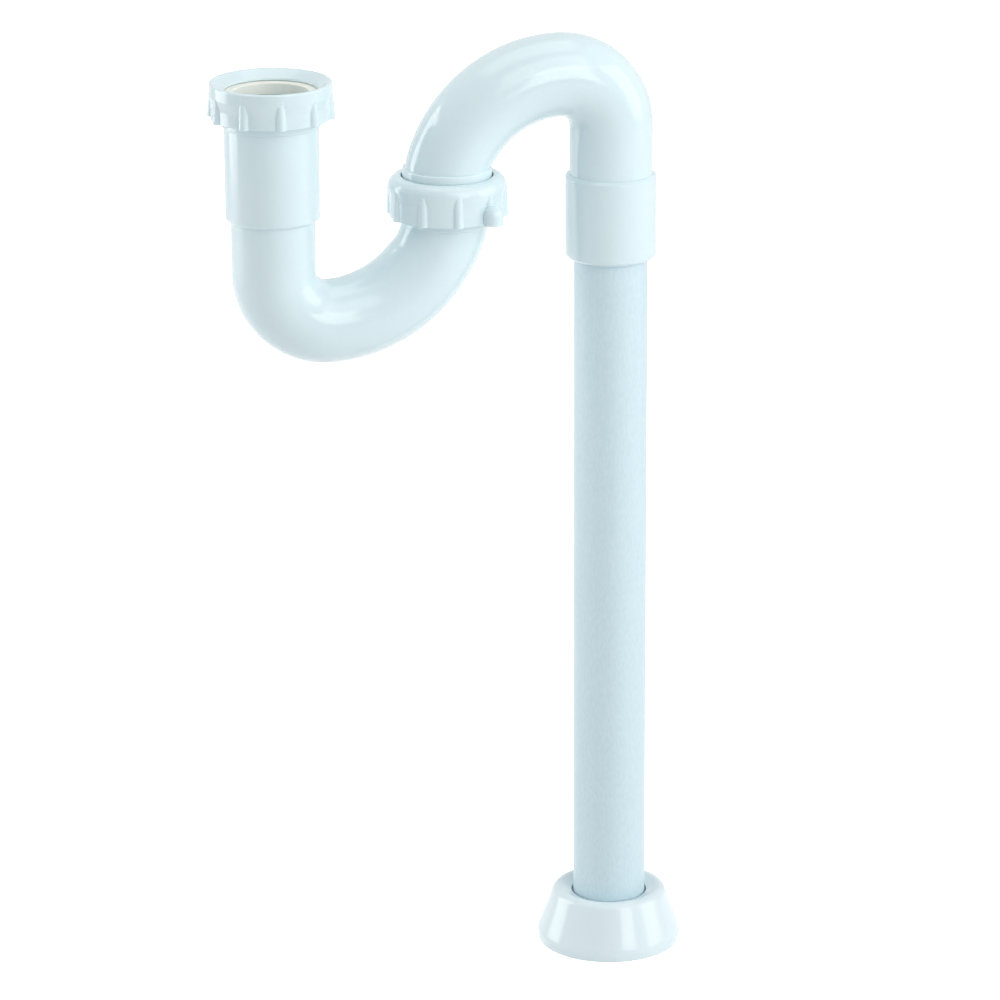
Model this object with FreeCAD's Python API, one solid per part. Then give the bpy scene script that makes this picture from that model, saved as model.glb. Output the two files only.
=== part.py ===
import FreeCAD, Part
import math
import os

# Tubular waste S-trap for a basin, all lengths in millimetres.
# The origin is the middle of the drop tube's lower end, on the floor.
# +Z is up and the bends lie in the XZ plane, with the inlet towards -X.

# Drop tube and the solvent-welded socket that holds its upper end
tube_radius = 19.05
tube_wall = 1.55
tube_free_length = 379.3
socket_wall = 4.35
socket_length = 44.0
socket_chamfer = 1.4
weld_depth = 39.0
weld_taper = 0.3
weld_gap = 0.1

# Moulded bends
bend_radius = 21.4
bend_wall = 3.2
tight_radius = 28.0
closing_radius = 24.0
upper_spacing = 87.0
upper_sweep_angle = 71.5
upper_leg = 25.3
trap_spacing = 91.0
trap_sweep_angle = 75.25
inlet_leg = 27.6

# Slip joints: the tube that enters a hub, the hub itself and its threaded head
hub_bore_gap = 0.35
inlet_collar_proud = 2.6
inlet_collar_chamfer = 1.4
inlet_collar_length = 48.4
inlet_stop_depth = 44.0
outlet_collar_proud = 1.4
outlet_collar_length = 4.6
outlet_collar_chamfer = 0.8
outlet_stop_depth = 13.5
head_wall = 5.5
head_below_inlet_nut = 4.3
head_round = 1.4
head_chamfer = 0.7
seat_width = 2.9
seat_depth = 4.0

# Spigot of the upper bend that enters the trap's outlet
spigot_wall = 2.15
spigot_stop_gap = 1.5
shoulder_proud = 1.5
shoulder_above_nut = 4.0
shoulder_edge = 0.9
shoulder_floor = 2.0
upper_upright_below_nut_top = 1.4
trap_upright_above_nut_base = 2.8

# Bevelled washers
washer_head_step = 0.2
washer_flange = 3.0
washer_bevel = 3.0
washer_grip_gap = 0.2
washer_seat_gap = 0.1
washer_edge = 0.4

# Slip nuts
inlet_nut_height = 18.3
union_nut_height = 21.0
inlet_nut_wall = 5.2
union_nut_wall = 4.3
nut_thread_gap = 0.3
nut_lip_height = 5.0
nut_seat_gap = 0.3
nut_band_height = 6.2
nut_band_slope = 5.0
nut_band_proud = 0.7
nut_taper = 0.15
inlet_lip_clearance = 4.45
inlet_dish_depth = 3.8
inlet_rim_width = 1.8
inlet_rim_edge = 0.9
union_lip_clearance = 0.7
union_top_round = 5.8

# Grip ribs, evenly spaced, and the round lug on the union nut
rib_count = 10
rib_radius = 2.6
rib_first_angle = 14.0
inlet_rib_proud = 2.1
union_rib_proud = 1.7
rib_head_proud = 0.5
lug_radius = 5.2
lug_height = 9.8
lug_reach = 7.4
lug_rib = -2

# Bell-shaped floor escutcheon
bell_radius = 38.5
bell_base_radius = 37.6
bell_height = 31.0
bell_wall = 2.0
bell_rim_height = 5.0
bell_rim_round = 8.0
bell_shoulder_radius = 29.0
bell_shoulder_round = 4.5
bell_dish_depth = 3.5
bell_tube_gap = 0.9

# Overlap by which one solid runs into the next before they are joined or cut
lap = 1.0

# Radii that follow from the sizes above
bend_bore = bend_radius - bend_wall
tube_bore = tube_radius - tube_wall
socket_radius = tube_radius + weld_gap + socket_wall
shoulder_radius = bend_radius + shoulder_proud
inlet_collar_radius = bend_radius + inlet_collar_proud
outlet_collar_radius = bend_radius + outlet_collar_proud
hub_bore = tube_radius + hub_bore_gap
head_radius = hub_bore + head_wall
seat_radius = hub_bore + seat_width
washer_radius = head_radius - washer_head_step
washer_bore = tube_radius + washer_grip_gap
inlet_lip_radius = tube_radius + inlet_lip_clearance
nut_bore = head_radius + nut_thread_gap
union_lip_radius = shoulder_radius + union_lip_clearance


# Radius of a sweep whose closing turn ends upright on the far axis
def sweep_radius(spacing, angle):
    across = math.sin(math.radians(angle))
    return (spacing - tight_radius - closing_radius * (1 - across)) / across


# Height between a bend's horizontal crown and the place where it is upright again
def sweep_height(sweep, angle):
    slope = math.cos(math.radians(angle))
    return sweep * (1 - slope) + closing_radius * slope


upper_sweep = sweep_radius(upper_spacing, upper_sweep_angle)
trap_sweep = sweep_radius(trap_spacing, trap_sweep_angle)

# Places of the two vertical axes
union_x = -upper_spacing
inlet_x = union_x - trap_spacing

# Heights, from the floor up the drop tube and over the bends
socket_bottom = tube_free_length
socket_top = socket_bottom + socket_length
tube_top = socket_bottom + weld_depth
upper_peak = socket_top + upper_leg + tight_radius
upper_upright = upper_peak - sweep_height(upper_sweep, upper_sweep_angle)
union_nut_top = upper_upright + upper_upright_below_nut_top
union_nut_base = union_nut_top - union_nut_height
shoulder_bottom = union_nut_top - nut_lip_height
shoulder_top = union_nut_top + shoulder_above_nut
union_mouth = shoulder_bottom - nut_seat_gap - washer_flange
outlet_stop = union_mouth - outlet_stop_depth
spigot_bottom = outlet_stop + spigot_stop_gap
outlet_collar_bottom = union_nut_base - outlet_collar_length
trap_upright = union_nut_base + trap_upright_above_nut_base
trap_low = trap_upright - sweep_height(trap_sweep, trap_sweep_angle)
inlet_collar_bottom = trap_low + tight_radius + inlet_leg
inlet_head_bottom = inlet_collar_bottom + inlet_collar_length
inlet_nut_base = inlet_head_bottom + head_below_inlet_nut
inlet_nut_top = inlet_nut_base + inlet_nut_height
inlet_mouth = inlet_nut_top - nut_lip_height - nut_seat_gap - washer_flange
inlet_stop = inlet_mouth - inlet_stop_depth

vertical = FreeCAD.Vector(0, 0, 1)


def point(radius, height, axis_x=0.0):
    return FreeCAD.Vector(axis_x + radius, 0, height)


# Closed face in the XZ plane; a corner is (radius, height) or (radius, height, rounding)
def outline(corners, axis_x=0.0):
    places = [point(corner[0], corner[1], axis_x) for corner in corners]
    rounds = [corner[2] if len(corner) > 2 else 0.0 for corner in corners]
    count = len(corners)
    starts = []
    ends = []
    arcs = []
    for index in range(count):
        here = places[index]
        back = (places[index - 1] - here).normalize()
        ahead = (places[(index + 1) % count] - here).normalize()
        if rounds[index] == 0.0:
            starts.append(here)
            ends.append(here)
            arcs.append(None)
            continue
        half = back.getAngle(ahead) / 2
        reach = rounds[index] / math.tan(half)
        middle = (back + ahead).normalize()
        crown = here + middle * (rounds[index] / math.sin(half) - rounds[index])
        starts.append(here + back * reach)
        ends.append(here + ahead * reach)
        arcs.append(Part.Arc(starts[index], crown, ends[index]).toShape())
    edges = []
    for index in range(count):
        if arcs[index]:
            edges.append(arcs[index])
        edges.append(Part.makeLine(ends[index], starts[(index + 1) % count]))
    return Part.Face(Part.Wire(edges))


def turned(corners, axis_x=0.0):
    return outline(corners, axis_x).revolve(point(0, 0, axis_x), vertical, 360)


def rod(radius, bottom, top, axis_x=0.0):
    return Part.makeCylinder(radius, top - bottom, point(0, bottom, axis_x))


# Centre line of a bend: leg, tight quarter turn, wide sweep, closing turn and upright tail.
# towards is the way along X from the leg, upward is 1 for the arch and -1 for the trap.
def bend_path(leg_x, leg_start, peak, towards, upward, sweep, sweep_angle, tail):
    def heading(degrees):
        turn = math.radians(degrees)
        return FreeCAD.Vector(towards * math.sin(turn), 0, upward * math.cos(turn))

    start = point(0, leg_start, leg_x)
    place = point(0, peak - upward * tight_radius, leg_x)
    edges = [Part.makeLine(start, place)]
    turned_by = 0.0
    turns = ((tight_radius, 90.0), (sweep, sweep_angle), (closing_radius, 90.0 - sweep_angle))
    for radius, angle in turns:
        centre = place + heading(turned_by + 90) * radius
        middle = centre - heading(turned_by + angle / 2 + 90) * radius
        turned_by += angle
        end = centre - heading(turned_by + 90) * radius
        edges.append(Part.Arc(place, middle, end).toShape())
        place = end
    edges.append(Part.makeLine(place, place + heading(180) * tail))
    return Part.Wire(edges)


def swept(path, radius):
    start = path.Vertexes[0].Point
    ring = Part.Wire([Part.makeCircle(radius, start, vertical)])
    return path.makePipeShell([ring], True, False)


def joined(first, *others):
    return first.fuse(list(others)).removeSplitter()


# Drop tube, with the upper end drawn to the taper of its socket
def make_drop_tube():
    tip_radius = tube_radius - weld_taper
    skin = [(0, 0), (tube_radius, 0), (tube_radius, socket_bottom), (tip_radius, tube_top), (0, tube_top)]
    return turned(skin).cut(rod(tube_bore, -lap, tube_top + lap))


# Upper bend: solvent socket, arch and the spigot with its stop shoulder
def make_upper_bend():
    socket = turned([
        (0, socket_bottom),
        (socket_radius - socket_chamfer, socket_bottom),
        (socket_radius, socket_bottom + socket_chamfer),
        (socket_radius, socket_top - socket_chamfer),
        (socket_radius - socket_chamfer, socket_top),
        (0, socket_top),
    ])
    shoulder = turned([
        (0, shoulder_bottom),
        (shoulder_radius, shoulder_bottom),
        (shoulder_radius, shoulder_top, shoulder_edge),
        (0, shoulder_top),
    ], union_x)
    spigot = rod(tube_radius, spigot_bottom, shoulder_bottom + lap, union_x)
    sweep = (upper_peak, -1, 1, upper_sweep, upper_sweep_angle)
    ledge = shoulder_bottom + shoulder_floor
    tail = upper_upright - ledge
    arch = swept(bend_path(0, socket_top - lap, *sweep, tail), bend_radius)
    waterway = swept(bend_path(0, tube_top - lap, *sweep, tail), bend_bore)
    tip_radius = tube_radius + weld_gap - weld_taper
    tube_seat = turned([
        (0, socket_bottom - lap),
        (tube_radius + weld_gap, socket_bottom - lap),
        (tube_radius + weld_gap, socket_bottom),
        (tip_radius, tube_top),
        (0, tube_top),
    ])
    spigot_bore = rod(tube_radius - spigot_wall, spigot_bottom - lap, ledge + lap, union_x)
    return joined(arch, socket, shoulder, spigot).cut([waterway, tube_seat, spigot_bore])


# Bore of a hub with the bevelled seat for its washer at the mouth
def hub_void(stop, mouth, axis_x):
    return turned([
        (0, stop),
        (hub_bore, stop),
        (hub_bore, mouth - seat_depth),
        (seat_radius, mouth),
        (seat_radius, mouth + lap),
        (0, mouth + lap),
    ], axis_x)


# Trap bend: inlet hub, tight turn, rising sweep and outlet hub
def make_trap_bend():
    inlet_hub = turned([
        (0, inlet_collar_bottom),
        (inlet_collar_radius - inlet_collar_chamfer, inlet_collar_bottom),
        (inlet_collar_radius, inlet_collar_bottom + inlet_collar_chamfer),
        (inlet_collar_radius, inlet_head_bottom),
        (head_radius, inlet_head_bottom, head_round),
        (head_radius, inlet_mouth - head_chamfer),
        (head_radius - head_chamfer, inlet_mouth),
        (0, inlet_mouth),
    ], inlet_x)
    outlet_hub = turned([
        (0, outlet_collar_bottom),
        (outlet_collar_radius - outlet_collar_chamfer, outlet_collar_bottom),
        (outlet_collar_radius, outlet_collar_bottom + outlet_collar_chamfer),
        (outlet_collar_radius, union_nut_base),
        (head_radius, union_nut_base),
        (head_radius, union_mouth - head_chamfer),
        (head_radius - head_chamfer, union_mouth),
        (0, union_mouth),
    ], union_x)
    sweep = (trap_low, 1, -1, trap_sweep, trap_sweep_angle)
    bend = swept(bend_path(inlet_x, inlet_collar_bottom + lap, *sweep, lap), bend_radius)
    waterway = swept(bend_path(inlet_x, inlet_stop + lap, *sweep, lap), bend_bore)
    inlet_void = hub_void(inlet_stop, inlet_mouth, inlet_x)
    outlet_void = hub_void(outlet_stop, union_mouth, union_x)
    return joined(bend, inlet_hub, outlet_hub).cut([waterway, inlet_void, outlet_void])


# Washer: a flat flange on the hub's mouth and a bevel inside its seat
def make_washer(mouth, axis_x):
    top = mouth + washer_flange
    bevel_top = seat_radius - washer_seat_gap
    bevel_tip = bevel_top - washer_bevel * seat_width / seat_depth
    return turned([
        (washer_bore, mouth - washer_bevel),
        (bevel_tip, mouth - washer_bevel),
        (bevel_top, mouth),
        (washer_radius, mouth),
        (washer_radius, top - washer_edge),
        (washer_radius - washer_edge, top),
        (washer_bore + washer_edge, top),
        (washer_bore, top - washer_edge),
    ], axis_x)


# Half-round rib on the nut's +X side, leaning in until it stands just proud of the plain band
def nut_rib(base, band_bottom, outer, axis_x, proud):
    foot = point(outer + proud - rib_radius, base, axis_x)
    head = point(outer + nut_band_proud + rib_head_proud - rib_radius, band_bottom, axis_x)
    lean = head - foot
    post = Part.makeCylinder(rib_radius, 2 * lean.Length, foot - lean / 2, lean)
    return post.common(rod(2 * outer, base, band_bottom, axis_x))


# Slip nut: wall swelling to a plain band, ribs, threaded bore and a lip
def make_nut(base, top, outer, axis_x, rib_proud, rim_round, lip_corners, lug=None):
    band_bottom = top - nut_band_height
    body = turned([
        (0, base),
        (outer, base),
        (outer - nut_taper, band_bottom - nut_band_slope),
        (outer + nut_band_proud, band_bottom),
        (outer + nut_band_proud - nut_taper, top, rim_round),
        (0, top),
    ], axis_x)
    first_rib = nut_rib(base, band_bottom, outer, axis_x, rib_proud)
    ribs = []
    for index in range(rib_count):
        rib = first_rib.copy()
        rib.rotate(point(0, 0, axis_x), vertical, rib_first_angle + index * 360 / rib_count)
        ribs.append(rib)
    bore = turned([
        (0, base - lap),
        (nut_bore, base - lap),
        (nut_bore, top - nut_lip_height),
        *lip_corners,
        (0, top + lap),
    ], axis_x)
    grips = ribs + [lug] if lug else ribs
    return joined(body, *grips).cut(bore)


# Inlet nut: a thin rim round a dished lip
def make_inlet_nut():
    top = inlet_nut_top
    outer = nut_bore + inlet_nut_wall
    dish_radius = outer + nut_band_proud - nut_taper - inlet_rim_width
    lip_corners = [
        (inlet_lip_radius, top - nut_lip_height),
        (inlet_lip_radius, top - inlet_dish_depth),
        (dish_radius, top),
        (dish_radius, top + lap),
    ]
    return make_nut(inlet_nut_base, top, outer, inlet_x, inlet_rib_proud, inlet_rim_edge, lip_corners)


# Union nut: a rounded top round the tube and one domed lug in place of a rib
def make_union_nut():
    base = union_nut_base
    top = union_nut_top
    outer = nut_bore + union_nut_wall
    lip_corners = [
        (union_lip_radius, top - nut_lip_height),
        (union_lip_radius, top + lap),
    ]
    lug_x = union_x + outer + lug_reach - lug_radius
    post = rod(lug_radius, base, base + lug_height - lug_radius, lug_x)
    dome = Part.makeSphere(lug_radius, FreeCAD.Vector(lug_x, 0, base + lug_height - lug_radius))
    lug = post.fuse(dome).common(rod(2 * outer, base, top, union_x))
    lug.rotate(point(0, 0, union_x), vertical, rib_first_angle + lug_rib * 360 / rib_count)
    return make_nut(base, top, outer, union_x, union_rib_proud, union_top_round, lip_corners, lug)


# Escutcheon: a thin bell with a dished top that slides on the drop tube and covers the floor hole
def make_escutcheon():
    hole = tube_radius + bell_tube_gap
    lip = bell_height - bell_dish_depth
    return turned([
        (bell_base_radius - bell_wall, 0),
        (bell_base_radius, 0),
        (bell_radius, bell_rim_height, bell_rim_round),
        (bell_shoulder_radius, bell_height, bell_shoulder_round),
        (hole, lip),
        (hole, lip - bell_wall),
        (bell_shoulder_radius - bell_wall, bell_height - bell_wall, bell_shoulder_round - bell_wall),
        (bell_radius - bell_wall, bell_rim_height, bell_rim_round - bell_wall),
    ])


parts = {
    "drop_tube": make_drop_tube(),
    "upper_bend": make_upper_bend(),
    "trap_bend": make_trap_bend(),
    "union_washer": make_washer(union_mouth, union_x),
    "inlet_washer": make_washer(inlet_mouth, inlet_x),
    "union_nut": make_union_nut(),
    "inlet_nut": make_inlet_nut(),
    "escutcheon": make_escutcheon(),
}

os.makedirs("parts", exist_ok=True)
for name, shape in parts.items():
    solid = shape.Solids[0] if len(shape.Solids) == 1 else shape
    solid.exportStep(f"parts/{name}.step")
    box = solid.BoundBox
    size = f"{box.XLength:.1f} x {box.YLength:.1f} x {box.ZLength:.1f} mm"
    print(f"{name}: {len(shape.Solids)} solid, valid {solid.isValid()}, {size}, {solid.Volume / 1000:.1f} cm3")
print(f"union nut base {union_nut_base:.2f}, inlet nut base {inlet_nut_base:.2f}, inlet stop {inlet_stop:.2f}")
print(f"inlet mouth {inlet_mouth:.2f}, union mouth {union_mouth:.2f}, trap low {trap_low:.2f}, peak {upper_peak:.2f}")
print(f"sweep radii {upper_sweep:.2f} and {trap_sweep:.2f}")
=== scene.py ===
import bpy
import bmesh
import math
import numpy as np
from mathutils import Matrix, Vector


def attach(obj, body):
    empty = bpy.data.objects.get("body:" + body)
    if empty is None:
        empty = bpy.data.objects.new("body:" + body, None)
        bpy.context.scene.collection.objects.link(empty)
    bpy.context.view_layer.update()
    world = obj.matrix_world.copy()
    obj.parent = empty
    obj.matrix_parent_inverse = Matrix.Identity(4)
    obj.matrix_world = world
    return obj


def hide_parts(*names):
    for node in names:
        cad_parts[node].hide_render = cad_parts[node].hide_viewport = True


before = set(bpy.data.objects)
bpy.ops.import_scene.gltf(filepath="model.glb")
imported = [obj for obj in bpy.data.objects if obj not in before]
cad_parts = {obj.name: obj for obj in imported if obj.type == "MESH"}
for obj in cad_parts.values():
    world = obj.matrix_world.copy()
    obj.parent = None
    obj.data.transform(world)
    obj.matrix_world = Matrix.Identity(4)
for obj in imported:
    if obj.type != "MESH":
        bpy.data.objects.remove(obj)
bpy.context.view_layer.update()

# Sizes of the pieces are in millimetres; meshes, materials and the stage are in metres
mm = 0.001
mergeReach = 1e-6
sharpAngle = math.radians(40)

# Axes and heights where pieces meet
unionX = -87.0
inletX = -178.0
unionNutBase = 407.80
inletNutBase = 464.84
unionMouth = 420.50
inletMouth = 474.84

# Guard points beside a rounding keep the flats flat; a rounding takes at most the fullest share of its side
rounding = {"guard": 0.25, "guardShare": 0.3, "fullest": 0.98}


# Line through corners of (radius, height) or (radius, height, rounding); an open line keeps plain ends
def roundedLine(corners, steps, closed=True):
    pts = [np.array(c[:2], float) for c in corners]
    count = len(pts)
    lengths = [float(np.linalg.norm(pts[(i + 1) % count] - pts[i])) for i in range(count)]
    ways = [(pts[(i + 1) % count] - pts[i]) / lengths[i] for i in range(count)]
    halves, reaches = [], []
    for i, corner in enumerate(corners):
        half = math.acos(max(-1.0, min(1.0, float(-ways[i - 1] @ ways[i])))) / 2
        plain = len(corner) < 3 or (not closed and i in (0, count - 1))
        halves.append(half)
        reaches.append(0.0 if plain else corner[2] / math.tan(half))
    line = []
    for i in range(count):
        if reaches[i] == 0.0:
            line.append(tuple(pts[i]))
            continue
        back, ahead, half = -ways[i - 1], ways[i], halves[i]
        freeBack = lengths[i - 1] - reaches[i - 1]
        freeAhead = lengths[i] - reaches[(i + 1) % count]
        reach = min(reaches[i], rounding["fullest"] * freeBack, rounding["fullest"] * freeAhead)
        radius = reach * math.tan(half)
        centre = pts[i] + (back + ahead) / np.linalg.norm(back + ahead) * (radius / math.sin(half))
        first, last = pts[i] + back * reach - centre, pts[i] + ahead * reach - centre
        a0, a1 = math.atan2(first[1], first[0]), math.atan2(last[1], last[0])
        swing = (a1 - a0 + math.pi) % (2 * math.pi) - math.pi
        guardBack = min(rounding["guard"], rounding["guardShare"] * (freeBack - reach))
        guardAhead = min(rounding["guard"], rounding["guardShare"] * (freeAhead - reach))
        line.append(tuple(pts[i] + back * (reach + guardBack)))
        for k in range(steps + 1):
            a = a0 + swing * k / steps
            line.append((centre[0] + radius * math.cos(a), centre[1] + radius * math.sin(a)))
        line.append(tuple(pts[i] + ahead * (reach + guardAhead)))
    return line


# Points and faces from rings; a closed skin joins its last ring to the first, an open one gets flat ends
def skin(rings, closed=True):
    rings = np.array(rings)
    rows, around = rings.shape[:2]
    ids = np.arange(rows * around).reshape(rows, around)
    first = ids if closed else ids[:-1]
    following = np.roll(ids, -1, axis=0) if closed else ids[1:]
    corners = [first, np.roll(first, -1, axis=1), np.roll(following, -1, axis=1), following]
    faces = np.stack(corners, axis=-1).reshape(-1, 4).tolist()
    if not closed:
        faces += [ids[0].tolist(), ids[-1].tolist()]
    return rings.reshape(-1, 3), faces


# Ring in a horizontal plane round an upright axis
def flatRing(angles, axisX, height, radius, way=1.0):
    radius = np.broadcast_to(radius, angles.shape)
    x = axisX + way * radius * np.cos(angles)
    y = radius * np.sin(angles)
    return np.stack([x, y, np.full(angles.shape, height)], axis=-1)


# Turned piece from its outline
def lathe(line, axisX, count, closed=True):
    angles = np.linspace(0, 2 * math.pi, count, endpoint=False)
    return skin([flatRing(angles, axisX, z, r) for r, z in line], closed)


# Smooth shading that keeps the hard edges
def shade(mesh):
    mesh.shade_smooth()
    mesh.set_sharp_from_angle(angle=sharpAngle)


# Object from a shell of points and faces, with the faces turned outward
def meshObject(name, shell):
    points, faces = shell
    mesh = bpy.data.meshes.new(name)
    mesh.from_pydata((points * mm).tolist(), [], faces)
    work = bmesh.new()
    work.from_mesh(mesh)
    bmesh.ops.remove_doubles(work, verts=work.verts, dist=mergeReach)
    bmesh.ops.recalc_face_normals(work, faces=work.faces)
    work.to_mesh(mesh)
    work.free()
    shade(mesh)
    obj = bpy.data.objects.new(name, mesh)
    bpy.context.scene.collection.objects.link(obj)
    return obj


# Finished piece: material, body it rides on and CAD node it stands for
def finishPiece(obj, material, body, node):
    obj.data.materials.clear()
    obj.data.materials.append(material)
    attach(obj, body)
    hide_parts(node)
    print("piece", obj.name, len(obj.data.polygons))


# Adds a node, sets or links its sockets and returns it
def addNode(tree, kind, sockets=None, **settings):
    node = tree.nodes.new(kind)
    for key, value in settings.items():
        setattr(node, key, value)
    for key, value in (sockets or {}).items():
        if isinstance(value, bpy.types.NodeSocket):
            tree.links.new(value, node.inputs[key])
        else:
            node.inputs[key].default_value = value
    return node


# Shader group: soft mottling and a fine surface grain in object coordinates
grainDetail = {"mottle": 3.0, "grain": 2.0}


def makeGrainGroup():
    group = bpy.data.node_groups.new("grain", "ShaderNodeTree")
    face = group.interface
    for name in ("Mottle Scale", "Grain Scale", "Stretch"):
        face.new_socket(name, in_out="INPUT", socket_type="NodeSocketFloat")
    for name in ("Mottle", "Grain"):
        face.new_socket(name, in_out="OUTPUT", socket_type="NodeSocketFloat")
    given = group.nodes.new("NodeGroupInput").outputs
    coords = addNode(group, "ShaderNodeTexCoord")
    stretch = addNode(group, "ShaderNodeCombineXYZ", {"X": 1.0, "Y": 1.0, "Z": given["Stretch"]})
    place = addNode(group, "ShaderNodeVectorMath", {
        0: coords.outputs["Object"], 1: stretch.outputs[0]}, operation="MULTIPLY")
    mottle = addNode(group, "ShaderNodeTexNoise", {
        "Vector": place.outputs[0], "Scale": given["Mottle Scale"], "Detail": grainDetail["mottle"]})
    grain = addNode(group, "ShaderNodeTexNoise", {
        "Vector": place.outputs[0], "Scale": given["Grain Scale"], "Detail": grainDetail["grain"]})
    addNode(group, "NodeGroupOutput", {"Mottle": mottle.outputs["Fac"], "Grain": grain.outputs["Fac"]})
    return group


grainGroup = makeGrainGroup()

# What all the plastics share; specks and mottling are the spans of noise that count
plastic = {
    "ior": 1.5, "specks": (0.35, 0.65), "mottling": (0.3, 0.7), "bumpHeight": 0.0002,
    "scatterRadius": (0.9, 1.0, 1.0), "scatterDepth": 0.002,
}


# Plastic from one dictionary of finish values
def makePlastic(look):
    material = bpy.data.materials.new(look["name"])
    material.use_nodes = True
    tree = material.node_tree
    tree.nodes.clear()
    noise = addNode(tree, "ShaderNodeGroup", {
        "Mottle Scale": look["mottleScale"], "Grain Scale": look["grainScale"], "Stretch": look["stretch"],
    }, node_tree=grainGroup).outputs
    low, high = plastic["specks"]
    speck = addNode(tree, "ShaderNodeMapRange", {"Value": noise["Grain"], "From Min": low, "From Max": high})
    share = addNode(tree, "ShaderNodeMath", {0: speck.outputs[0], 1: look["speckle"]}, operation="MULTIPLY")
    base = addNode(tree, "ShaderNodeMix", {"Factor": share.outputs[0]}, data_type="RGBA")
    base.inputs[6].default_value = (*look["colour"], 1.0)
    base.inputs[7].default_value = (*look["speckColour"], 1.0)
    low, high = plastic["mottling"]
    rough = addNode(tree, "ShaderNodeMapRange", {
        "Value": noise["Mottle"], "From Min": low, "From Max": high,
        "To Min": look["roughness"] - look["roughSpread"], "To Max": look["roughness"] + look["roughSpread"]})
    relief = addNode(tree, "ShaderNodeMath", {0: noise["Grain"], 1: noise["Mottle"]}, operation="ADD")
    bump = addNode(tree, "ShaderNodeBump", {
        "Height": relief.outputs[0], "Strength": look["bump"], "Distance": plastic["bumpHeight"]})
    shader = addNode(tree, "ShaderNodeBsdfPrincipled", {
        "Base Color": base.outputs[2], "Roughness": rough.outputs[0], "Normal": bump.outputs[0],
        "IOR": plastic["ior"], "Subsurface Weight": look["subsurface"],
        "Subsurface Radius": plastic["scatterRadius"], "Subsurface Scale": plastic["scatterDepth"]})
    addNode(tree, "ShaderNodeOutputMaterial", {"Surface": shader.outputs[0]})
    return material


mouldedLook = {
    "name": "moulded", "colour": (0.71, 0.85, 0.89), "speckColour": (0.73, 0.87, 0.91), "speckle": 0.4,
    "roughness": 0.12, "roughSpread": 0.02, "mottleScale": 60.0, "grainScale": 500.0, "stretch": 1.0,
    "bump": 0.05, "subsurface": 0.15,
}
bellLook = {
    "name": "bellWhite", "colour": (0.76, 0.88, 0.92), "speckColour": (0.78, 0.89, 0.93), "speckle": 0.4,
    "roughness": 0.14, "roughSpread": 0.02, "mottleScale": 60.0, "grainScale": 500.0, "stretch": 1.0,
    "bump": 0.05, "subsurface": 0.15,
}
tubeLook = {
    "name": "extruded", "colour": (0.62, 0.77, 0.83), "speckColour": (0.67, 0.82, 0.88), "speckle": 0.8,
    "roughness": 0.42, "roughSpread": 0.05, "mottleScale": 90.0, "grainScale": 900.0, "stretch": 0.35,
    "bump": 0.12, "subsurface": 0.1,
}
washerLook = {
    "name": "washer", "colour": (0.94, 0.96, 0.87), "speckColour": (0.96, 0.97, 0.89), "speckle": 0.5,
    "roughness": 0.45, "roughSpread": 0.04, "mottleScale": 90.0, "grainScale": 900.0, "stretch": 1.0,
    "bump": 0.08, "subsurface": 0.3,
}
moulded = makePlastic(mouldedLook)
bellWhite = makePlastic(bellLook)
extruded = makePlastic(tubeLook)
washerPe = makePlastic(washerLook)
print("materials made")

# Drop tube, drawn in at the top to the taper of its socket
tube = {"radius": 19.05, "bore": 17.5, "tip": 18.75, "socketBottom": 379.3, "top": 418.3, "edge": 0.25,
        "around": 192, "steps": 4}
tubeLine = roundedLine([
    (tube["bore"], 0.0, tube["edge"]),
    (tube["radius"], 0.0, tube["edge"]),
    (tube["radius"], tube["socketBottom"]),
    (tube["tip"], tube["top"], tube["edge"]),
    (tube["bore"], tube["top"], tube["edge"]),
], tube["steps"])
dropTube = meshObject("dropTube", lathe(tubeLine, 0.0, tube["around"]))
finishPiece(dropTube, extruded, "drain_leg", "drop_tube")

# Floor escutcheon
bell = {"radius": 38.5, "baseRadius": 37.6, "height": 31.0, "wall": 2.0, "rim": 5.0, "rimRound": 8.0,
        "shoulder": 29.0, "shoulderRound": 4.5, "dish": 3.5, "hole": 19.95,
        "footEdge": 0.5, "holeEdge": 0.4, "innerEdge": 0.3, "around": 256, "steps": 12}
bellLip = bell["height"] - bell["dish"]
bellLine = roundedLine([
    (bell["baseRadius"] - bell["wall"], 0.0, bell["innerEdge"]),
    (bell["baseRadius"], 0.0, bell["footEdge"]),
    (bell["radius"], bell["rim"], bell["rimRound"]),
    (bell["shoulder"], bell["height"], bell["shoulderRound"]),
    (bell["hole"], bellLip, bell["holeEdge"]),
    (bell["hole"], bellLip - bell["wall"], bell["innerEdge"]),
    (bell["shoulder"] - bell["wall"], bell["height"] - bell["wall"], bell["shoulderRound"] - bell["wall"]),
    (bell["radius"] - bell["wall"], bell["rim"], bell["rimRound"] - bell["wall"]),
], bell["steps"])
floorBell = meshObject("floorBell", lathe(bellLine, 0.0, bell["around"]))
finishPiece(floorBell, bellWhite, "escutcheon", "escutcheon")

# Bevelled washers
washer = {"bore": 19.25, "radius": 24.7, "flange": 3.0, "bevel": 3.0, "bevelTop": 22.2, "bevelTip": 20.025,
          "edge": 0.4, "tipEdge": 0.2, "around": 160, "steps": 5}
for name, node, mouth, axisX in (("unionWasher", "union_washer", unionMouth, unionX),
                                 ("inletWasher", "inlet_washer", inletMouth, inletX)):
    washerLine = roundedLine([
        (washer["bore"], mouth - washer["bevel"], washer["tipEdge"]),
        (washer["bevelTip"], mouth - washer["bevel"], washer["tipEdge"]),
        (washer["bevelTop"], mouth),
        (washer["radius"], mouth),
        (washer["radius"], mouth + washer["flange"], washer["edge"]),
        (washer["bore"], mouth + washer["flange"], washer["edge"]),
    ], washer["steps"])
    washerObject = meshObject(name, lathe(washerLine, axisX, washer["around"]))
    finishPiece(washerObject, washerPe, "trap", node)
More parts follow.
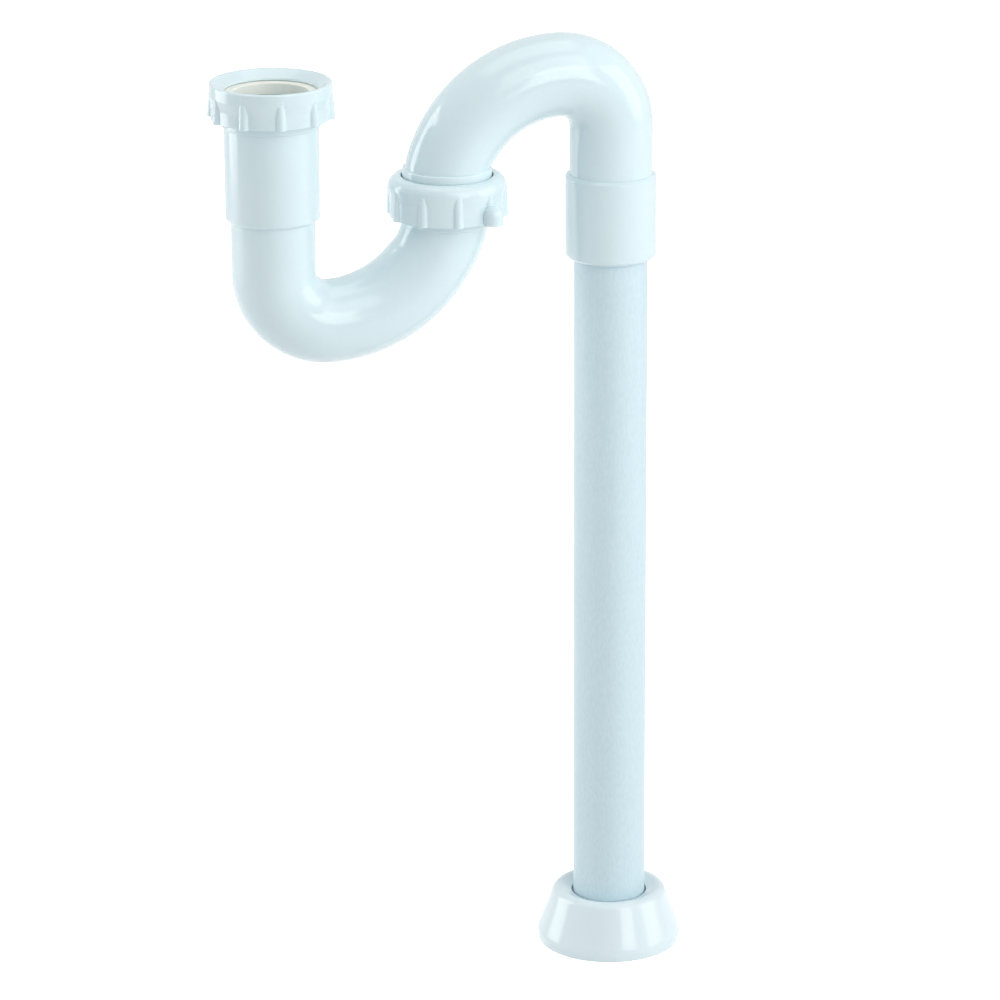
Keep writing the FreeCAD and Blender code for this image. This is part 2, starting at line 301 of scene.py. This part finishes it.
print("turned pieces made")

# Fine seam where the mould halves of a bend meet, with extra points close to it
mouldSeam = {"height": 0.1, "width": 0.22, "pointsAt": (0.12, 0.24, 0.4, 0.6), "pointsRadius": 20.0}

# Rings of a bend: from the hub's level rings over a blend to true sections along the run
bendMesh = {"around": 160, "blendSteps": 14, "blendTurn": 24.0, "runSteps": 96, "slack": 0.01, "legLap": 1.0}


# Angles round a bend, closer together near the seam on its two crests
def makeBendAngles():
    angles = list(np.linspace(0, 2 * math.pi, bendMesh["around"], endpoint=False))
    near = [s * w / mouldSeam["pointsRadius"] for s in (-1, 1) for w in mouldSeam["pointsAt"]]
    angles += [(crest + d) % (2 * math.pi) for crest in (0.0, math.pi) for d in near]
    return np.array(sorted(set(angles)))


bendAngles = makeBendAngles()


# Height of the seam round a ring
def seamRidge(radius, height):
    return height * np.exp(-(np.sin(bendAngles) * radius / mouldSeam["width"]) ** 2)


# Heading of a bend's centre line after it has turned by some degrees, 0 along the leg and 180 along the tail
def heading(bend, degrees):
    turn = math.radians(degrees)
    return np.array([bend["towards"] * math.sin(turn), 0.0, bend["upward"] * math.cos(turn)])


# Point on a bend's centre line
def bendPlace(bend, degrees):
    place = np.array([bend["legX"], 0.0, bend["peak"] - bend["upward"] * bend["tight"]])
    done = 0.0
    turns = ((bend["tight"], 90.0), (bend["sweep"], bend["angle"]), (bend["closing"], 90.0 - bend["angle"]))
    for radius, angle in turns:
        centre = place + heading(bend, done + 90) * radius
        here = min(max(degrees, done), done + angle)
        if degrees <= done + angle:
            return centre - heading(bend, here + 90) * radius
        place = centre - heading(bend, done + angle + 90) * radius
        done += angle
    return place


# Ring on a bend, in a plane that may lean away from the true section
def bendRing(bend, degrees, plane, radius, seam):
    out = -heading(bend, plane + 90)
    wide = radius / math.cos(math.radians(degrees - plane))
    ridge = seamRidge(radius, seam)
    across = (wide + ridge) * np.cos(bendAngles)
    side = (radius + ridge) * np.sin(bendAngles)
    return bendPlace(bend, degrees) + np.outer(across, out) + np.outer(side, np.array([0.0, 1.0, 0.0]))


# Lean of the closing turn from the upright at a height
def tailLean(bend, height):
    rise = bend["upward"] * (height - bend["upright"])
    return math.asin(max(0.0, min(1.0, rise / bend["closing"])))


# Radius of the leaning tube about the tail's axis, in the horizontal plane at a height
def tailSection(bend, height, radius, seam):
    lean = tailLean(bend, height)
    shift = -bend["closing"] * (1 - math.cos(lean))
    wide = radius / math.cos(lean)
    c, s = np.cos(bendAngles) / wide, np.sin(bendAngles) / radius
    a = c ** 2 + s ** 2
    b = -2 * c * shift / wide
    d = (shift / wide) ** 2 - 1
    return (-b + np.sqrt(b ** 2 - 4 * a * d)) / (2 * a) + seamRidge(radius, seam)


# Rings from the hub on the tail, joined with the leaning tube, along the bend and up the leg
def bendRings(bend, hubLine, legLine, radius, seam=0.0):
    rings = []
    for hubRadius, height in hubLine:
        section = 0.0
        if bend["upward"] * (height - bend["upright"]) > -bendMesh["slack"]:
            section = tailSection(bend, height, radius, seam)
        level = np.maximum(section, hubRadius)
        rings.append(flatRing(bendAngles, bend["tailX"], height, level, bend["towards"]))
    leaving = 180 - math.degrees(tailLean(bend, hubLine[-1][1]))
    for k in range(1, bendMesh["blendSteps"] + 1):
        degrees = leaving - bendMesh["blendTurn"] * k / bendMesh["blendSteps"]
        share = k / bendMesh["blendSteps"]
        plane = 180 + (degrees - 180) * (share * share * (3 - 2 * share))
        rings.append(bendRing(bend, degrees, plane, radius, seam))
    for degrees in np.linspace(leaving - bendMesh["blendTurn"], 0.0, bendMesh["runSteps"])[1:]:
        rings.append(bendRing(bend, degrees, degrees, radius, seam))
    for legRadius, height in legLine:
        rings.append(flatRing(bendAngles, bend["legX"], height, legRadius, -bend["towards"]))
    return rings


# Bend from its hub and leg outlines outside and inside
def makeBend(name, bend, hubLine, legLine, hubBore, legBore):
    outer = bendRings(bend, hubLine, legLine, bend["radius"], mouldSeam["height"])
    inner = bendRings(bend, hubBore, legBore, bend["bore"])
    return meshObject(name, skin(outer + inner[::-1]))


# Trap bend: hubs at both ends, U between them and the waterway inside
trap = {"legX": inletX, "tailX": unionX, "towards": 1.0, "upward": -1.0, "peak": 356.54, "tight": 28.0,
        "sweep": 64.33, "angle": 75.25, "closing": 24.0, "upright": 410.60, "radius": 21.4, "bore": 18.2}
hub = {"bore": 19.4, "seat": 22.3, "seatDepth": 4.0, "head": 24.9, "edge": 0.7, "bead": 1.4, "beadFoot": 0.3,
       "headBottom": 460.54, "collar": 24.0, "collarBottom": 412.14, "chamfer": 1.4, "collarEdge": 0.9,
       "collarUnder": 0.5, "collarFoot": 0.4, "band": 22.8, "bandBottom": 403.20, "bandChamfer": 0.8,
       "bandEdge": 0.4, "inletStop": 430.84, "outletStop": 407.00, "sunk": 0.6, "outletSteps": 5, "inletSteps": 6}
trapLeg = trap["peak"] + trap["tight"] + bendMesh["legLap"]
outletLine = roundedLine([
    (hub["seat"], unionMouth),
    (hub["head"], unionMouth, hub["edge"]),
    (hub["head"], unionNutBase, hub["edge"]),
    (hub["band"], unionNutBase),
    (hub["band"], hub["bandBottom"] + hub["bandChamfer"], hub["bandEdge"]),
    (hub["band"] - hub["bandChamfer"], hub["bandBottom"]),
    (hub["band"] - 2 * hub["bandChamfer"], hub["bandBottom"]),
], hub["outletSteps"], False)
inletLine = roundedLine([
    (trap["radius"], trapLeg),
    (trap["radius"], hub["collarBottom"], hub["collarFoot"]),
    (hub["collar"] - hub["chamfer"], hub["collarBottom"], hub["collarUnder"]),
    (hub["collar"], hub["collarBottom"] + hub["chamfer"], hub["collarEdge"]),
    (hub["collar"], hub["headBottom"], hub["beadFoot"]),
    (hub["head"], hub["headBottom"], hub["bead"]),
    (hub["head"], inletMouth, hub["edge"]),
    (hub["seat"], inletMouth),
], hub["inletSteps"], False)
outletBore = [
    (hub["bore"], unionMouth - hub["seatDepth"]),
    (hub["bore"], hub["outletStop"]),
    (trap["bore"] - hub["sunk"], hub["outletStop"]),
]
inletBore = [
    (trap["bore"], trapLeg),
    (trap["bore"], hub["inletStop"]),
    (hub["bore"], hub["inletStop"]),
    (hub["bore"], inletMouth - hub["seatDepth"]),
]
trapBend = makeBend("trapBend", trap, outletLine, inletLine, outletBore, inletBore)
finishPiece(trapBend, moulded, "trap", "trap_bend")

# Upper bend: socket over the drop tube, arch, stop shoulder and spigot
arch = {"legX": 0.0, "tailX": unionX, "towards": -1.0, "upward": 1.0, "peak": 476.6, "tight": 28.0,
        "sweep": 60.91, "angle": 71.5, "closing": 24.0, "upright": 427.40, "radius": 21.4, "bore": 18.2}
socket = {"radius": 23.5, "bottom": 379.3, "top": 423.3, "chamfer": 1.4, "mouth": 19.15, "floor": 18.85,
          "depth": 39.0, "edge": 0.7, "mouthEdge": 0.3, "topFoot": 0.2, "steps": 5}
spigot = {"radius": 19.05, "bore": 16.9, "bottom": 408.50, "edge": 0.3, "boreEdge": 0.6, "ledge": 425.80,
          "shoulder": 22.9, "shoulderBottom": 423.80, "shoulderTop": 432.80, "shoulderEdge": 0.9,
          "sunk": 2.0, "steps": 6}
archLeg = arch["peak"] - arch["tight"] - bendMesh["legLap"]
spigotLine = roundedLine([
    (spigot["bore"], spigot["bottom"], spigot["edge"]),
    (spigot["radius"], spigot["bottom"], spigot["edge"]),
    (spigot["radius"], spigot["shoulderBottom"]),
    (spigot["shoulder"], spigot["shoulderBottom"], spigot["edge"]),
    (spigot["shoulder"], spigot["shoulderTop"], spigot["shoulderEdge"]),
    (spigot["shoulder"] - spigot["sunk"], spigot["shoulderTop"]),
], spigot["steps"], False)
socketLine = roundedLine([
    (arch["radius"], archLeg),
    (arch["radius"], socket["top"]),
    (socket["radius"] - socket["chamfer"], socket["top"], socket["topFoot"]),
    (socket["radius"], socket["top"] - socket["chamfer"], socket["edge"]),
    (socket["radius"], socket["bottom"] + socket["chamfer"], socket["edge"]),
    (socket["radius"] - socket["chamfer"], socket["bottom"], socket["mouthEdge"]),
    (socket["mouth"], socket["bottom"]),
], socket["steps"], False)
spigotBore = [
    (spigot["bore"], spigot["bottom"] + spigot["boreEdge"]),
    (spigot["bore"], spigot["ledge"]),
    (arch["bore"], spigot["ledge"]),
    (arch["bore"], arch["upright"]),
]
tubeSeat = [
    (arch["bore"], archLeg),
    (arch["bore"], socket["bottom"] + socket["depth"]),
    (socket["floor"], socket["bottom"] + socket["depth"]),
]
upperBend = makeBend("upperBend", arch, spigotLine, socketLine, spigotBore, tubeSeat)
finishPiece(upperBend, moulded, "drain_leg", "upper_bend")
print("bends made")


# Geometry tree: lifts a turned wall to evenly spaced, round-edged ribs about an upright axis
def makeRibTree():
    tree = bpy.data.node_groups.new("ribbedWall", "GeometryNodeTree")
    face = tree.interface
    face.new_socket("Geometry", in_out="INPUT", socket_type="NodeSocketGeometry")
    for name in ("Ribs", "First Angle", "Rib Radius", "Flank", "Base Radius", "Top Radius",
                 "Base Height", "Top Height", "Axis X"):
        face.new_socket(name, in_out="INPUT", socket_type="NodeSocketFloat")
    face.new_socket("Material", in_out="INPUT", socket_type="NodeSocketMaterial")
    face.new_socket("Geometry", in_out="OUTPUT", socket_type="NodeSocketGeometry")
    given = tree.nodes.new("NodeGroupInput").outputs

    def calc(operation, first, second=0.0):
        return addNode(tree, "ShaderNodeMath", {0: first, 1: second}, operation=operation).outputs[0]

    place = addNode(tree, "GeometryNodeInputPosition")
    parts = addNode(tree, "ShaderNodeSeparateXYZ", {0: place.outputs[0]}).outputs
    x, y = calc("SUBTRACT", parts["X"], given["Axis X"]), parts["Y"]
    reach = calc("SQRT", calc("ADD", calc("MULTIPLY", x, x), calc("MULTIPLY", y, y)))

    # Way along the wall to the nearest rib's middle
    angle = calc("SUBTRACT", calc("ARCTAN2", y, x), given["First Angle"])
    pitch = calc("DIVIDE", 2 * math.pi, given["Ribs"])
    halfPitch = calc("MULTIPLY", pitch, 0.5)
    turned = calc("FLOORED_MODULO", calc("ADD", angle, halfPitch), pitch)
    aside = calc("MULTIPLY", calc("ABSOLUTE", calc("SUBTRACT", turned, halfPitch)), reach)

    # Round section of the rib, faded in over its flank, and its crest from base to top
    ribRadius = given["Rib Radius"]
    across = addNode(tree, "ShaderNodeMapRange", {
        "Value": aside, "From Min": ribRadius, "From Max": calc("SUBTRACT", ribRadius, given["Flank"]),
    }, interpolation_type="SMOOTHSTEP")
    square = calc("SUBTRACT", calc("MULTIPLY", ribRadius, ribRadius), calc("MULTIPLY", aside, aside))
    swell = calc("SUBTRACT", calc("SQRT", calc("MAXIMUM", square, 0.0)), ribRadius)
    crest = addNode(tree, "ShaderNodeMapRange", {
        "Value": parts["Z"], "From Min": given["Base Height"], "From Max": given["Top Height"],
        "To Min": given["Base Radius"], "To Max": given["Top Radius"]})
    wanted = calc("ADD", crest.outputs[0], swell)

    # Only points on the wall are lifted, and only outward
    wall = addNode(tree, "GeometryNodeInputNamedAttribute", {"Name": "wall"}, data_type="FLOAT").outputs[0]
    lift = calc("MULTIPLY", calc("MAXIMUM", calc("SUBTRACT", wanted, wall), 0.0), across.outputs[0])
    lift = calc("MULTIPLY", lift, calc("GREATER_THAN", wall, 0.0))
    ratio = calc("DIVIDE", lift, reach)
    shift = addNode(tree, "ShaderNodeCombineXYZ", {
        "X": calc("MULTIPLY", x, ratio), "Y": calc("MULTIPLY", y, ratio)})
    moved = addNode(tree, "GeometryNodeSetPosition", {"Geometry": given["Geometry"], "Offset": shift.outputs[0]})
    real = addNode(tree, "GeometryNodeRealizeInstances", {"Geometry": moved.outputs[0]})
    coat = addNode(tree, "GeometryNodeSetMaterial", {"Geometry": real.outputs[0], "Material": given["Material"]})
    addNode(tree, "NodeGroupOutput", {"Geometry": coat.outputs[0]})
    return tree


ribTree = makeRibTree()


# Plain mesh of an object after its modifiers, which are then removed
def bake(obj):
    bpy.context.view_layer.update()
    depsgraph = bpy.context.evaluated_depsgraph_get()
    mesh = bpy.data.meshes.new_from_object(obj.evaluated_get(depsgraph), depsgraph=depsgraph)
    obj.modifiers.clear()
    obj.data = mesh
    if "wall" in mesh.attributes:
        mesh.attributes.remove(mesh.attributes["wall"])
    shade(mesh)


# Slip nuts: turned body with a finely divided wall, ribs from the tree and, on the union, one domed lug
nut = {"bore": 25.2, "taper": 0.15, "lip": 5.0, "lipEdge": 0.2, "band": 6.2, "slope": 5.0, "proud": 0.7,
       "boreEdge": 0.5, "baseEdge": 0.4, "slopeFoot": 6.0, "slopeHead": 4.0, "steps": 8,
       "ribs": 10, "firstRib": 14.0, "ribRadius": 2.6, "ribHead": 0.5, "flank": 0.3,
       "around": 720, "wallStep": 0.6, "wallDepth": 0.5, "wallAbove": 1.5}
inlet = {"name": "inletNut", "axisX": inletX, "base": inletNutBase, "height": 18.3, "outer": 30.4, "ribProud": 2.1,
         "rim": 0.9, "rimWidth": 1.8, "dishDepth": 3.8, "dishEdge": 0.7, "dishFoot": 0.5, "lip": 23.5, "lug": None}
lug = {"radius": 5.2, "height": 9.8, "reach": 7.4, "angle": -58.0, "tipShare": 0.02, "edge": 0.3,
       "around": 64, "steps": 20, "shortEdge": 0.02}
union = {"name": "unionNut", "axisX": unionX, "base": unionNutBase, "height": 21.0, "outer": 29.5, "ribProud": 1.7,
         "topRound": 5.6, "topEdge": 0.3, "lip": 23.6, "lug": lug}


# Domed lug, standing on the nut's base and reaching into its wall
def lugShell(kind):
    lug = kind["lug"]
    tip = lug["tipShare"] * lug["radius"]
    top = kind["base"] + lug["height"]
    line = roundedLine([
        (tip, kind["base"]),
        (lug["radius"], kind["base"], lug["edge"]),
        (lug["radius"], top, lug["radius"] - tip),
        (tip, top),
    ], lug["steps"], False)
    points, faces = lathe(line, kind["outer"] + lug["reach"] - lug["radius"], lug["around"], False)
    c, s = math.cos(math.radians(lug["angle"])), math.sin(math.radians(lug["angle"]))
    turned = points @ np.array([[c, s, 0.0], [-s, c, 0.0], [0.0, 0.0, 1.0]])
    return turned + np.array([kind["axisX"], 0.0, 0.0]), faces


# Bakes the nut as one shell with its lug and clears the slivers where they meet
def bakeWithLug(obj, kind):
    lugObject = meshObject("lug", lugShell(kind))
    join = obj.modifiers.new("lug", "BOOLEAN")
    join.operation, join.solver, join.object = "UNION", "EXACT", lugObject
    bake(obj)
    bpy.data.objects.remove(lugObject)
    work = bmesh.new()
    work.from_mesh(obj.data)
    bmesh.ops.triangulate(work, faces=[face for face in work.faces if len(face.verts) > 4])
    bmesh.ops.dissolve_degenerate(work, dist=kind["lug"]["shortEdge"] * mm, edges=work.edges)
    work.to_mesh(obj.data)
    work.free()


# Ribbed nut from its own values and the corners of its top
def makeNut(kind, topLine):
    base, outer = kind["base"], kind["outer"]
    top = base + kind["height"]
    bandBottom = top - nut["band"]
    slopeBottom = bandBottom - nut["slope"]
    wallHeights = [base, slopeBottom, bandBottom]
    wallRadii = [outer, outer - nut["taper"], outer + nut["proud"]]
    line = roundedLine([
        (nut["bore"], top - nut["lip"]),
        (nut["bore"], base, nut["boreEdge"]),
        (outer, base, nut["baseEdge"]),
        (outer - nut["taper"], slopeBottom, nut["slopeFoot"]),
        (outer + nut["proud"], bandBottom, nut["slopeHead"]),
    ] + topLine, nut["steps"])

    # Outline with the ribbed wall divided finely, and the wall's plain radius at each of its points
    fine, wall = [], []
    for (r0, z0), (r1, z1) in zip(line, line[1:] + line[:1]):
        outside = min(r0, r1) > outer - nut["wallDepth"] and max(z0, z1) < bandBottom + nut["wallAbove"]
        cuts = max(1, round(abs(z1 - z0) / nut["wallStep"])) if outside else 1
        for k in range(cuts):
            z = z0 + (z1 - z0) * k / cuts
            fine.append((r0 + (r1 - r0) * k / cuts, z))
            wall.append(float(np.interp(z, wallHeights, wallRadii)) if outside else 0.0)
    obj = meshObject(kind["name"], lathe(fine, kind["axisX"], nut["around"]))
    onWall = (np.repeat(wall, nut["around"]) * mm).astype(np.float32)
    obj.data.attributes.new("wall", "FLOAT", "POINT").data.foreach_set("value", onWall)

    modifier = obj.modifiers.new("ribs", "NODES")
    modifier.node_group = ribTree
    values = {
        "Ribs": float(nut["ribs"]),
        "First Angle": math.radians(nut["firstRib"]),
        "Rib Radius": nut["ribRadius"] * mm,
        "Flank": nut["flank"] * mm,
        "Base Radius": (outer + kind["ribProud"]) * mm,
        "Top Radius": (outer + nut["proud"] + nut["ribHead"]) * mm,
        "Base Height": base * mm,
        "Top Height": bandBottom * mm,
        "Axis X": kind["axisX"] * mm,
        "Material": moulded,
    }
    for item in ribTree.interface.items_tree:
        if item.item_type == "SOCKET" and item.in_out == "INPUT" and item.name in values:
            modifier[item.identifier] = values[item.name]
    if kind["lug"]:
        bakeWithLug(obj, kind)
    else:
        bake(obj)
    return obj


inletTop = inlet["base"] + inlet["height"]
inletRim = inlet["outer"] + nut["proud"] - nut["taper"]
inletNut = makeNut(inlet, [
    (inletRim, inletTop, inlet["rim"]),
    (inletRim - inlet["rimWidth"], inletTop, inlet["dishEdge"]),
    (inlet["lip"], inletTop - inlet["dishDepth"], inlet["dishFoot"]),
    (inlet["lip"], inletTop - nut["lip"], nut["lipEdge"]),
])
finishPiece(inletNut, moulded, "inlet_nut", "inlet_nut")
unionTop = union["base"] + union["height"]
unionNut = makeNut(union, [
    (union["outer"] + nut["proud"] - nut["taper"], unionTop, union["topRound"]),
    (union["lip"], unionTop, union["topEdge"]),
    (union["lip"], unionTop - nut["lip"], nut["lipEdge"]),
])
finishPiece(unionNut, moulded, "union_nut", "union_nut")
print("nuts made")

# Floor, which glows white to the camera and less to reflections and bounced light
ground = {"half": 8.0, "grey": 0.8, "roughness": 0.9, "glow": 0.08, "glossGlow": 0.58, "cameraGlow": 0.85}
half = ground["half"]
floorMesh = bpy.data.meshes.new("floor")
floorMesh.from_pydata([(-half, -half, 0), (half, -half, 0), (half, half, 0), (-half, half, 0)], [], [(0, 1, 2, 3)])
floor = bpy.data.objects.new("floor", floorMesh)
bpy.context.scene.collection.objects.link(floor)
floorMaterial = bpy.data.materials.new("floorWhite")
floorMaterial.use_nodes = True
floorTree = floorMaterial.node_tree
floorTree.nodes.clear()
floorPath = addNode(floorTree, "ShaderNodeLightPath").outputs
floorGloss = addNode(floorTree, "ShaderNodeMath", {
    0: floorPath["Is Glossy Ray"], 1: ground["glossGlow"], 2: ground["glow"]}, operation="MULTIPLY_ADD")
floorGlow = addNode(floorTree, "ShaderNodeMath", {
    0: floorPath["Is Camera Ray"], 1: ground["cameraGlow"], 2: floorGloss.outputs[0]}, operation="MULTIPLY_ADD")
floorShader = addNode(floorTree, "ShaderNodeBsdfPrincipled", {
    "Base Color": (ground["grey"], ground["grey"], ground["grey"], 1.0), "Roughness": ground["roughness"],
    "Specular IOR Level": 0.0, "Emission Color": (1.0, 1.0, 1.0, 1.0), "Emission Strength": floorGlow.outputs[0]})
addNode(floorTree, "ShaderNodeOutputMaterial", {"Surface": floorShader.outputs[0]})
floorMesh.materials.append(floorMaterial)

# World: white to the camera and in reflections, a calm pale grey as light
studio = {"light": (0.97, 0.99, 1.0, 1.0), "lightStrength": 0.31, "seen": (1.0, 1.0, 1.0, 1.0), "seenStrength": 1.0}
world = bpy.data.worlds.new("studio")
bpy.context.scene.world = world
world.use_nodes = True
worldTree = world.node_tree
worldTree.nodes.clear()
worldPath = addNode(worldTree, "ShaderNodeLightPath").outputs
around = addNode(worldTree, "ShaderNodeBackground", {"Color": studio["light"], "Strength": studio["lightStrength"]})
seen = addNode(worldTree, "ShaderNodeBackground", {"Color": studio["seen"], "Strength": studio["seenStrength"]})
direct = addNode(worldTree, "ShaderNodeMath", {
    0: worldPath["Is Camera Ray"], 1: worldPath["Is Glossy Ray"]}, operation="MAXIMUM")
pick = addNode(worldTree, "ShaderNodeMixShader", {0: direct.outputs[0], 1: around.outputs[0], 2: seen.outputs[0]})
addNode(worldTree, "ShaderNodeOutputWorld", {"Surface": pick.outputs[0]})

# Soft boxes that face the middle of the trap: place, width and height, watts
softBoxes = {
    "panel": ((0.6, -2.0, 1.08), (0.9, 1.2), 11.0),
    "front": ((0.2, -1.1, 1.5), (1.3, 1.0), 6.2),
    "right": ((1.75, -0.75, 0.9), (1.3, 1.5), 13.0),
    "left": ((-1.6, 0.8, 0.6), (1.0, 1.6), 17.0),
    "top": ((-0.1, 0.2, 1.9), (1.4, 1.0), 6.0),
}
middle = Vector((-0.09, 0.0, 0.3))
for name, (place, size, power) in softBoxes.items():
    light = bpy.data.lights.new(name, "AREA")
    light.shape = "RECTANGLE"
    light.size, light.size_y = size
    light.energy = power
    box = bpy.data.objects.new(name, light)
    box.location = place
    box.rotation_euler = (middle - Vector(place)).to_track_quat("-Z", "Y").to_euler()
    box.visible_camera = False
    bpy.context.scene.collection.objects.link(box)

# Camera fitted to the photograph
cameraView = {"place": (-0.726, -2.380, 1.0614), "forward": (0.25617, 0.91517, -0.3112), "roll": -0.24,
              "lens": 180.0, "sensor": 36.0, "farthest": 50.0}
cameraData = bpy.data.cameras.new("camera")
cameraData.lens = cameraView["lens"]
cameraData.sensor_width = cameraView["sensor"]
cameraData.clip_end = cameraView["farthest"]
camera = bpy.data.objects.new("camera", cameraData)
bpy.context.scene.collection.objects.link(camera)
bpy.context.scene.camera = camera
forward = Vector(cameraView["forward"]).normalized()
side = forward.cross(Vector((0, 0, 1))).normalized()
upright = side.cross(forward)
roll = math.radians(cameraView["roll"])
right = side * math.cos(roll) + upright * math.sin(roll)
above = upright * math.cos(roll) - side * math.sin(roll)
turn = Matrix((right, above, -forward)).transposed()
camera.matrix_world = Matrix.Translation(cameraView["place"]) @ turn.to_4x4()

bpy.context.scene.view_settings.view_transform = "Standard"
print("stage set")
